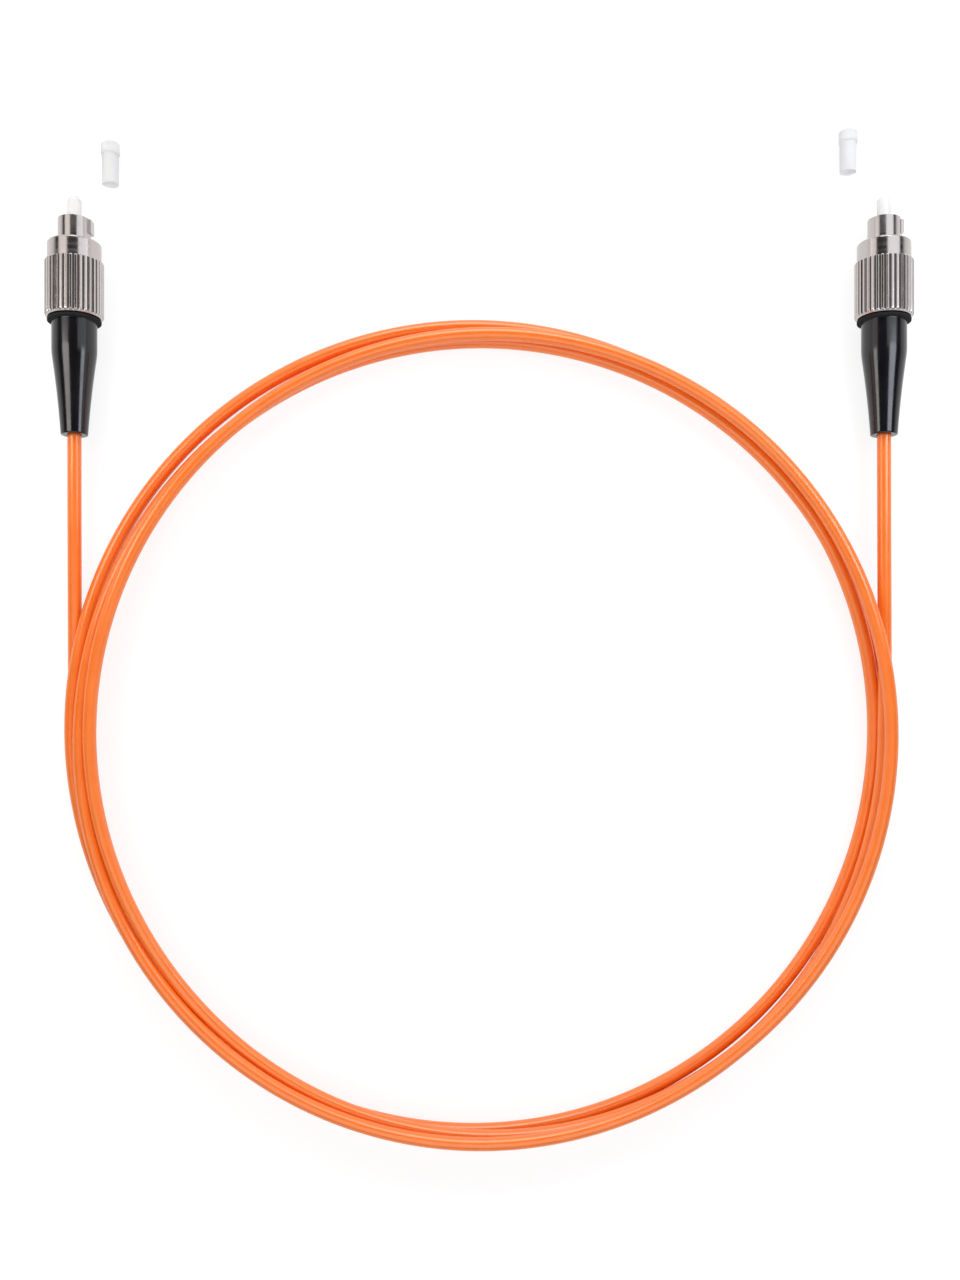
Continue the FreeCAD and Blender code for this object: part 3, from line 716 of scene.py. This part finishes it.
def spring_grid(low, high):
    """Rings of wire along a helix: sine and cosine of the angle across, and an even rise along Y.

    Each ring is a circle between the outward direction and one square to the wire.
    """
    low, high = low + WIRE_RADIUS, high - WIRE_RADIUS
    middle = (low + high) / 2
    coil_radius = (high[0] - low[0]) / 2
    share = np.linspace(0, 1, SPRING_TURNS * RINGS_A_TURN + 1)[:, None]
    angle = 2 * np.pi * SPRING_TURNS * share
    slope = (high[1] - low[1]) / (2 * np.pi * SPRING_TURNS) / coil_radius
    outward = np.concatenate([np.sin(angle), 0 * angle, np.cos(angle)], axis=1)
    forward = np.concatenate([np.cos(angle), 0 * angle + slope, -np.sin(angle)], axis=1)
    sideways = np.cross(forward, outward)
    sideways = sideways / np.linalg.norm(sideways, axis=1, keepdims=True)
    line = middle + coil_radius * outward
    line[:, 1:2] = low[1] + (high[1] - low[1]) * share
    around = round_angles(WIRE_SIDES)[:, None]
    ring = np.cos(around) * outward[:, None] + np.sin(around) * sideways[:, None]
    rings = line[:, None] + WIRE_RADIUS * ring
    ends = np.repeat(line[[0, -1], None], WIRE_SIDES, axis=1)
    return np.concatenate([ends[:1], rings, ends[1:]])


for side in SIDES:
    low, high = (np.array(corner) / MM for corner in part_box(f"{side}_ferrule_spring"))
    spring = skin_piece(f"{side}_spring_coil", spring_grid(low, high), poles=True)
    dress(spring, "cord_set", f"{side}_ferrule_spring", "steel")
    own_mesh(spring)

# %% [markdown]
# ## Dust caps
#
# The dust cap is a thin tube of clear plastic with a thicker closed head. It lies beside its
# ferrule, taken off, and its size along the axis comes from the CAD box.

# %% Dust caps
CAP_BORE = 1.26
CAP_WALL = 0.19
CAP_HEAD = 1.65
CAP_HEAD_LENGTH = 2.0
CAP_END_WALL = 1.0
CAP_HEAD_BEVEL = 0.3


def cap_outline(length):
    """From the end of the bore, out of the open end, along the tube and over the head."""
    body = CAP_BORE + CAP_WALL
    head_rear = length - CAP_HEAD_LENGTH
    bore_end = length - CAP_END_WALL
    return soften(
        [
            (0, bore_end, 0),
            (CAP_BORE, bore_end, SOFT_EDGE),
            (CAP_BORE, 0, RIM_EDGE),
            (body, 0, RIM_EDGE),
            (body, head_rear, ROD_EDGE),
            (CAP_HEAD, head_rear, TURNED_EDGE),
            (CAP_HEAD, length - CAP_HEAD_BEVEL, SOFT_EDGE),
            (CAP_HEAD - CAP_HEAD_BEVEL, length, SOFT_EDGE),
            (0, length, 0),
        ],
        closed=False,
    )


for side in SIDES:
    low, high = (np.array(corner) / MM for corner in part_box(f"{side}_dust_cap"))
    cap_rows = cap_outline(high[1] - low[1])
    cap_foot = np.array([(low[0] + high[0]) / 2, low[1], (low[2] + high[2]) / 2])
    cap = plain_turned(f"{side}_cap_skin", cap_rows, ROUND_COLUMNS, cap_foot, poles=True)
    dress(cap, "cord_set", f"{side}_dust_cap", "clear_white")

# %% [markdown]
# ## Effects that several finishes share
#
# A finish is more than a colour. Moulded plastic has a fine grain and a slightly uneven gloss,
# turned metal has rings left by the tool, and everything that fingers touch is a little smudged.
# Each effect is a node group, built once, that puts out values which vary over the surface. The
# materials below decide what to do with them.

# %% Node helpers
# Noise rarely leaves this span.
NOISE_SPAN = (0.3, 0.7)
WHOLE_SPAN = (0.0, 1.0)


def add_node(tree, kind, inputs=None, **settings):
    """Adds a node, sets its own settings, and gives each input a value or a link from a socket."""
    item = tree.nodes.new(kind)
    for name, value in settings.items():
        setattr(item, name, value)
    for name, value in (inputs or {}).items():
        if isinstance(value, bpy.types.NodeSocket):
            tree.links.new(value, item.inputs[name])
        else:
            item.inputs[name].default_value = value
    return item


def new_effect(name, inputs, outputs):
    """An empty node group with named sockets, with its inner ends."""
    group = bpy.data.node_groups.new(name, "ShaderNodeTree")
    for socket, kind in inputs.items():
        group.interface.new_socket(socket, in_out="INPUT", socket_type=kind)
    for socket in outputs:
        group.interface.new_socket(socket, in_out="OUTPUT", socket_type="NodeSocketFloat")
    given = group.nodes.new("NodeGroupInput").outputs
    result = group.nodes.new("NodeGroupOutput").inputs
    print("effect", name, "puts out", outputs)
    return group, given, result


def place_effect(tree, group, inputs):
    """Puts a node group into a material, with its own values, and gives its outputs."""
    return add_node(tree, "ShaderNodeGroup", inputs, node_tree=group).outputs


def rescale(tree, value, low, high, span=NOISE_SPAN):
    """Turns a value from one end of the span to the other into one from low to high."""
    limits = {"From Min": span[0], "From Max": span[1], "To Min": low, "To Max": high}
    return add_node(tree, "ShaderNodeMapRange", {"Value": value, **limits}).outputs[0]


def calculate(tree, operation, first, second=0.0):
    """One arithmetic step between two values or sockets."""
    return add_node(tree, "ShaderNodeMath", {0: first, 1: second}, operation=operation).outputs[0]


# %% Moulding grain
COARSER = 0.05
grain, given, result = new_effect(
    "moulding_grain", {"Vector": "NodeSocketVector", "Scale": "NodeSocketFloat"}, ["Height", "Mottle"]
)
fine = add_node(
    grain, "ShaderNodeTexNoise", {"Vector": given["Vector"], "Scale": given["Scale"], "Detail": 3.0}
)
coarse_scale = calculate(grain, "MULTIPLY", given["Scale"], COARSER)
coarse = add_node(
    grain, "ShaderNodeTexNoise", {"Vector": given["Vector"], "Scale": coarse_scale, "Detail": 4.0}
)
grain.links.new(fine.outputs[0], result["Height"])
grain.links.new(coarse.outputs[0], result["Mottle"])

# %% Turning marks
MARKS_A_METRE = 9000.0
STREAKS_A_METRE = 1700.0
axis_across, _, axis_height = FEET["right"] * MM


def axis_distance(tree, apart):
    """Distance from the nearer connector's axis: the root of the squares across and above it."""
    across = calculate(tree, "SUBTRACT", calculate(tree, "ABSOLUTE", apart["X"]), axis_across)
    above = calculate(tree, "SUBTRACT", apart["Z"], axis_height)
    squares = [calculate(tree, "POWER", leg, 2.0) for leg in (across, above)]
    return calculate(tree, "SQRT", calculate(tree, "ADD", *squares))


def ring_noise(tree, place, scale, detail):
    """Noise along one line, so that it makes rings round the axis."""
    inputs = {"W": place, "Scale": scale, "Detail": detail}
    return add_node(tree, "ShaderNodeTexNoise", inputs, noise_dimensions="1D").outputs[0]


turning, given, result = new_effect(
    "turning_marks", {"Vector": "NodeSocketVector"}, ["Height", "Streak"]
)
apart = add_node(turning, "ShaderNodeSeparateXYZ", {"Vector": given["Vector"]}).outputs
along_and_out = calculate(turning, "ADD", apart["Y"], axis_distance(turning, apart))
marks = ring_noise(turning, along_and_out, MARKS_A_METRE, 2.0)
streaks = ring_noise(turning, along_and_out, STREAKS_A_METRE, 3.0)
turning.links.new(marks, result["Height"])
turning.links.new(streaks, result["Streak"])

# %% Handling smudges
SMUDGES_A_METRE = 260.0
SMUDGE_SPAN = (0.42, 0.68)
handling, given, result = new_effect("handling", {"Vector": "NodeSocketVector"}, ["Smudge"])
smudge = add_node(
    handling, "ShaderNodeTexNoise",
    {"Vector": given["Vector"], "Scale": SMUDGES_A_METRE, "Detail": 5.0, "Distortion": 0.6},
)
handling.links.new(rescale(handling, smudge.outputs[0], 0.0, 1.0, SMUDGE_SPAN), result["Smudge"])

# %% [markdown]
# ## Finishes
#
# Each finish is one Principled shader. What is the same all over the piece is set on the shader's
# own sockets, and only what varies is linked. Every pattern reads Object coordinates, so it stays
# on the piece when the joint moves it.

# %% Material helpers
MICRON = 1e-6
finishes = {}


def new_finish(name, constants):
    """Keeps a new material under its slot's name, with its shader's constant values set.

    What it gives back is what a finish needs: node tree, shader and Object coordinates.
    """
    material = bpy.data.materials.new(name)
    material.use_nodes = True
    finishes[name] = material
    tree = material.node_tree
    shader = tree.nodes["Principled BSDF"]
    for socket, value in constants.items():
        shader.inputs[socket].default_value = value
    place = tree.nodes.new("ShaderNodeTexCoord").outputs["Object"]
    print("finish", name, constants)
    return tree, shader, place


def two_tone(tree, mask, dark, light, span=NOISE_SPAN):
    """A colour that goes from dark to light as the mask goes through the span."""
    ramp = tree.nodes.new("ShaderNodeValToRGB")
    tree.links.new(mask, ramp.inputs["Fac"])
    for element, position, colour in zip(ramp.color_ramp.elements, span, (dark, light)):
        element.position = position
        element.color = (*colour, 1)
    return ramp.outputs["Color"]


def add_bump(tree, shader, height, distance):
    """Raises the surface's shading by a height map; the distance is in metres."""
    bump = add_node(tree, "ShaderNodeBump", {"Height": height, "Distance": distance, "Strength": 1.0})
    tree.links.new(bump.outputs["Normal"], shader.inputs["Normal"])


def grained_plastic(name, constants, scale, tones, gloss, bump):
    """Colour and roughness follow the grain's slow mottle, and a bump, if any, its fine height."""
    tree, shader, place = new_finish(name, constants)
    effect = place_effect(tree, grain, {"Vector": place, "Scale": scale})
    tree.links.new(two_tone(tree, effect["Mottle"], *tones), shader.inputs["Base Color"])
    tree.links.new(rescale(tree, effect["Mottle"], *gloss), shader.inputs["Roughness"])
    if bump:
        add_bump(tree, shader, effect["Height"], bump)


# %% [markdown]
# ### Orange jacket
#
# The jacket is extruded in one colour, saturated and even, with a soft gloss that draws a pale line
# along each strand. One flat colour would look like paint, so the mottle shifts colour and gloss a
# little, and a bump of two microns makes the highlight slightly dry.

# %% Orange jacket
grained_plastic(
    "orange_jacket",
    {"IOR": 1.55, "Specular IOR Level": 1.0, "Specular Tint": (1.0, 0.95, 0.79, 1.0)},
    scale=4200.0,
    tones=((0.93, 0.174, 0.008), (0.98, 0.190, 0.012)),
    gloss=(0.29, 0.34),
    bump=2 * MICRON,
)

# %% [markdown]
# ### Black boot
#
# The boot is a soft moulding with a shiny skin, nearly black. What the eye sees of it are its
# reflections, so smudges only move the roughness. The collar is matte. It could be a finish of its
# own, but a step in the station switches the roughness over and keeps the boot one piece.

# %% Black boot
BOOT_GRAIN = 3000.0
BOOT_TONES = ((0.004, 0.004, 0.0055), (0.007, 0.007, 0.009))
BOOT_GLOSS = (0.15, 0.21)
MATTE_REACH = 0.0001


def black_boot():
    """Glossy moulding: near black, an uneven sheen where it is handled, matte at the collar."""
    tree, shader, place = new_finish("black_boot", {"IOR": 1.52})
    effect = place_effect(tree, grain, {"Vector": place, "Scale": BOOT_GRAIN})
    touched = place_effect(tree, handling, {"Vector": place})
    apart = add_node(tree, "ShaderNodeSeparateXYZ", {"Vector": place}).outputs
    collar = (FEET["left"][1] + BOOT_LENGTH - BOOT_COLLAR_THICKNESS) * MM
    matte = calculate(tree, "GREATER_THAN", apart["Y"], collar - MATTE_REACH)
    tree.links.new(two_tone(tree, effect["Mottle"], *BOOT_TONES), shader.inputs["Base Color"])
    gloss = rescale(tree, touched["Smudge"], *BOOT_GLOSS, span=WHOLE_SPAN)
    tree.links.new(calculate(tree, "MAXIMUM", gloss, matte), shader.inputs["Roughness"])
    add_bump(tree, shader, effect["Height"], 5 * MICRON)


black_boot()

# %% [markdown]
# ### Nickel
#
# The nut, the barrel and the rear body are turned brass with bright nickel on it, a little warm.
# The lathe leaves fine rings, and the colour darkens the deeper a point lies in a flute. The flutes'
# depth was stored on the nut's points, so the darkening follows the true shape and needs no drawn
# mask.

# %% Nickel
NICKEL_TONES = ((0.53, 0.488, 0.48), (0.11, 0.092, 0.09))
NICKEL_GLOSS = (0.14, 0.20)
FLUTE_DARKENING_SPAN = (0.25, 1.0)
WORN_ROUGHER = 0.07


def nickel():
    """Nickel plate: warm bright metal, fine turning rings, and a darker grey deep in the grooves."""
    tree, shader, place = new_finish("nickel", {"Metallic": 1.0})
    marks = place_effect(tree, turning, {"Vector": place})
    touched = place_effect(tree, handling, {"Vector": place})
    depth = add_node(tree, "ShaderNodeAttribute", attribute_name="groove").outputs["Fac"]
    # The colour darkens and greys the deeper a point lies in a flute.
    tree.links.new(two_tone(tree, depth, *NICKEL_TONES, span=FLUTE_DARKENING_SPAN), shader.inputs["Base Color"])
    gloss = rescale(tree, marks["Streak"], *NICKEL_GLOSS)
    worn = rescale(tree, touched["Smudge"], 0.0, WORN_ROUGHER, WHOLE_SPAN)
    tree.links.new(calculate(tree, "ADD", gloss, worn), shader.inputs["Roughness"])
    add_bump(tree, shader, marks["Height"], 1.5 * MICRON)


nickel()

# %% [markdown]
# ### Steel and crimp metal
#
# The flange, the ring and the spring are plain steel, and the crimp sleeve is drawn brass. They sit
# inside, where only a gap shows them, so one function makes both from two tones and a roughness.

# %% Steel and crimp metal
def turned_metal(name, tones, gloss):
    """Plain turned metal: two tones and a roughness that follow the turning streaks."""
    tree, shader, place = new_finish(name, {"Metallic": 1.0})
    marks = place_effect(tree, turning, {"Vector": place})
    tree.links.new(two_tone(tree, marks["Streak"], *tones), shader.inputs["Base Color"])
    tree.links.new(rescale(tree, marks["Streak"], *gloss), shader.inputs["Roughness"])
    add_bump(tree, shader, marks["Height"], 5 * MICRON)


turned_metal("steel", ((0.42, 0.42, 0.43), (0.62, 0.62, 0.62)), (0.24, 0.36))
turned_metal("crimp_metal", ((0.55, 0.46, 0.30), (0.74, 0.65, 0.46)), (0.28, 0.42))

# %% [markdown]
# ### Ceramic
#
# The ferrule is ground zirconia, white and a little milky. The glass fibre ends in the middle of its
# face as a dark dot, an eighth of a millimetre across. A disc of its own would be a loose face, so
# the dot is where the distance from the axis is less than the fibre's radius.

# %% Ceramic
FIBRE_RADIUS = 62.5 * MICRON
CERAMIC_GRAIN = 5000.0
CERAMIC_TONES = ((0.03, 0.03, 0.035), (0.83, 0.83, 0.82))
CERAMIC_GLOSS = (0.18, 0.28)
MILKY = (0.85, 1.0)


def ceramic():
    """Ground zirconia: milky white, with the end of the glass fibre as a dark dot on its axis."""
    tree, shader, place = new_finish("ceramic", {"IOR": 1.6})
    effect = place_effect(tree, grain, {"Vector": place, "Scale": CERAMIC_GRAIN})
    apart = add_node(tree, "ShaderNodeSeparateXYZ", {"Vector": place}).outputs
    outside = calculate(tree, "GREATER_THAN", axis_distance(tree, apart), FIBRE_RADIUS)
    shade = calculate(tree, "MULTIPLY", rescale(tree, effect["Mottle"], *MILKY), outside)
    tree.links.new(two_tone(tree, shade, *CERAMIC_TONES, span=WHOLE_SPAN), shader.inputs["Base Color"])
    tree.links.new(rescale(tree, effect["Mottle"], *CERAMIC_GLOSS), shader.inputs["Roughness"])


ceramic()

# %% [markdown]
# ### Yarn and buffer
#
# Inside the crimp lie yellow aramid yarn and the fibre's own off-white buffer. The yarn's strands
# run along the cord, so its noise is stretched that way; modelled strands would never be seen.

# %% Yarn and buffer
STRANDS_A_METRE = 9000.0
ALONG_THE_CORD = (1.0, 0.03, 1.0)
ARAMID_TONES = ((0.55, 0.36, 0.07), (0.80, 0.60, 0.18))
ARAMID_GLOSS = (0.5, 0.75)


def aramid():
    """Yellow aramid yarn: fine strands along the cord, seen as streaks of colour and height."""
    tree, shader, place = new_finish("aramid", {"Sheen Weight": 0.3})
    along = add_node(tree, "ShaderNodeMapping", {"Vector": place, "Scale": ALONG_THE_CORD})
    inputs = {"Vector": along.outputs[0], "Scale": STRANDS_A_METRE, "Detail": 3.0}
    strands = add_node(tree, "ShaderNodeTexNoise", inputs).outputs[0]
    tree.links.new(two_tone(tree, strands, *ARAMID_TONES), shader.inputs["Base Color"])
    tree.links.new(rescale(tree, strands, *ARAMID_GLOSS), shader.inputs["Roughness"])
    add_bump(tree, shader, strands, 40 * MICRON)


aramid()
grained_plastic(
    "buffer",
    {"IOR": 1.5},
    scale=6000.0,
    tones=((0.70, 0.67, 0.58), (0.80, 0.77, 0.69)),
    gloss=(0.35, 0.5),
    bump=0.0,
)

# %% [markdown]
# ### Clear white caps
#
# The dust caps are thin translucent plastic, pale rather than clear. They could be glass all
# through, but half transmission lets the other half of the light scatter and keeps them white.

# %% Clear white cap
grained_plastic(
    "clear_white",
    {"Transmission Weight": 0.5, "IOR": 1.35},
    scale=2600.0,
    tones=((0.965, 0.97, 0.975), (0.985, 0.99, 0.995)),
    gloss=(0.30, 0.40),
    bump=10 * MICRON,
)

# %% Finishes on their pieces
for subpart in frame["record"]["subparts"]:
    node = frame["nodes"][subpart["node"]]
    node.data.materials.clear()
    node.data.materials.append(finishes[subpart["material_slot"]])
for piece, slot in dressed:
    piece.data.materials.append(finishes[slot])
print("finishes", sorted(finishes), "on", len(dressed), "new pieces")

# %% [markdown]
# ## Table
#
# The table is white. For what the camera sees, directly or in metal and clear plastic, part of its
# brightness is its own, so the open table is white and the shadows stay faint. Other light falls on
# it as on a plain white sheet. More light would make it white too, but the cord paler with it.

# %% Table
FLOOR_HALF = 3.0
FLOOR_WHITE = 0.85
SEEN_GLOW = 0.84
SEEN_WHITE = 0.2

floor_mesh = bpy.data.meshes.new("table")
corners = np.array([[-1, -1, 0], [1, -1, 0], [1, 1, 0], [-1, 1, 0]]) * FLOOR_HALF
floor_mesh.from_pydata(corners.tolist(), [], [(0, 1, 2, 3)])
floor = bpy.data.objects.new("table", floor_mesh)
scene.collection.objects.link(floor)


def grey(value):
    """A neutral colour."""
    return (value, value, value, 1)


def table_white():
    """White sheet, with a glow of its own for camera, glossy and transmission rays."""
    material = bpy.data.materials.new("table_white")
    material.use_nodes = True
    tree = material.node_tree
    tree.nodes.clear()
    path = tree.nodes.new("ShaderNodeLightPath").outputs
    seen = calculate(tree, "ADD", path["Is Camera Ray"], path["Is Glossy Ray"])
    seen = calculate(tree, "ADD", seen, path["Is Transmission Ray"])
    seen = calculate(tree, "MINIMUM", seen, 1.0)
    plain = add_node(tree, "ShaderNodeBsdfDiffuse", {"Color": grey(FLOOR_WHITE)})
    soft = add_node(tree, "ShaderNodeBsdfDiffuse", {"Color": grey(SEEN_WHITE)})
    glow = add_node(tree, "ShaderNodeEmission", {"Color": grey(SEEN_GLOW)})
    lit = add_node(tree, "ShaderNodeAddShader", {0: soft.outputs[0], 1: glow.outputs[0]})
    both = add_node(tree, "ShaderNodeMixShader", {0: seen, 1: plain.outputs[0], 2: lit.outputs[0]})
    add_node(tree, "ShaderNodeOutputMaterial", {"Surface": both.outputs[0]})
    return material


floor_mesh.materials.append(table_white())
print("table", 2 * FLOOR_HALF, "m square")

# %% [markdown]
# ## Lamps
#
# Glossy pieces show the lamps themselves, so each lamp is a soft panel whose edges are set by what
# they draw. One big light overhead would turn the metal flat and grey. Two small panels beside the
# boots draw a stripe on either side of the black taper. Two larger ones ahead of them draw the
# bright bands on the nuts' noses, with a dark middle where neither shows. A wide panel beyond the
# connectors gives the cord its pale upper edge, and one over the near side fills the coil's lower
# turns.

# %% Lamps
WARM = (1.0, 0.955, 0.90)
COOL = (0.95, 0.975, 1.0)
BLUISH = (0.86, 0.885, 1.0)
NEUTRAL = (1.0, 1.0, 1.0)
# Each lamp: its place, the point that it faces, its size, all in metres, then watts and colour.
LAMPS = {
    "left_near": ((-0.120, -0.003, 0.109), (0, -0.003, 0), (0.044, 0.072), 0.053, WARM),
    "right_near": ((0.120, -0.003, 0.109), (0, -0.003, 0), (0.044, 0.072), 0.0635, BLUISH),
    "left_far": ((-0.1235, 0.0725, 0.1115), (0.2647, 0.0725, 0), (0.115, 0.105), 0.0434, WARM),
    "right_far": ((0.1005, 0.0725, 0.136), (-0.1715, 0.0725, 0), (0.115, 0.1677), 0.0800, COOL),
    "beyond": ((0, 0.595, 0.465), (0, 0.215, 0), (0.5, 0.426), 3.15, NEUTRAL),
    "above": ((0, -0.30, 0.30), (0, -0.30, 0), (0.6, 0.4), 1.12, NEUTRAL),
}


def softbox(name, place, aim, size, watts, colour):
    """A rectangular soft light at place that faces aim; the camera looks through it."""
    data = bpy.data.lights.new(name, "AREA")
    data.shape = "RECTANGLE"
    data.size, data.size_y = size
    data.energy = watts
    data.color = colour
    lamp = bpy.data.objects.new(name, data)
    lamp.location = place
    lamp.rotation_euler = (Vector(aim) - Vector(place)).to_track_quat("-Z", "Y").to_euler()
    lamp.visible_camera = False
    scene.collection.objects.link(lamp)
    print(name, "radiance", round(watts / (np.pi * size[0] * size[1]), 2))


for name, settings in LAMPS.items():
    softbox(name, *settings)

# %% [markdown]
# ## The room
#
# Low down, the room is pale, so that views from the side have a pale background. Higher up it is
# dark, and the dark ceiling is what shows in the metal between the bright bands.

# %% World
PALE_BELOW = np.sin(np.radians(8))
DARK_ABOVE = np.sin(np.radians(23))
PALE = 0.95
CEILING = 0.03

world = bpy.data.worlds.new("studio")
scene.world = world
world.use_nodes = True
tree = world.node_tree
direction = tree.nodes.new("ShaderNodeTexCoord").outputs["Generated"]
height = add_node(tree, "ShaderNodeSeparateXYZ", {"Vector": direction}).outputs["Z"]
level = rescale(tree, height, PALE, CEILING, (PALE_BELOW, DARK_ABOVE))
tree.links.new(level, tree.nodes["Background"].inputs["Color"])
print("ceiling", CEILING, "walls", PALE)
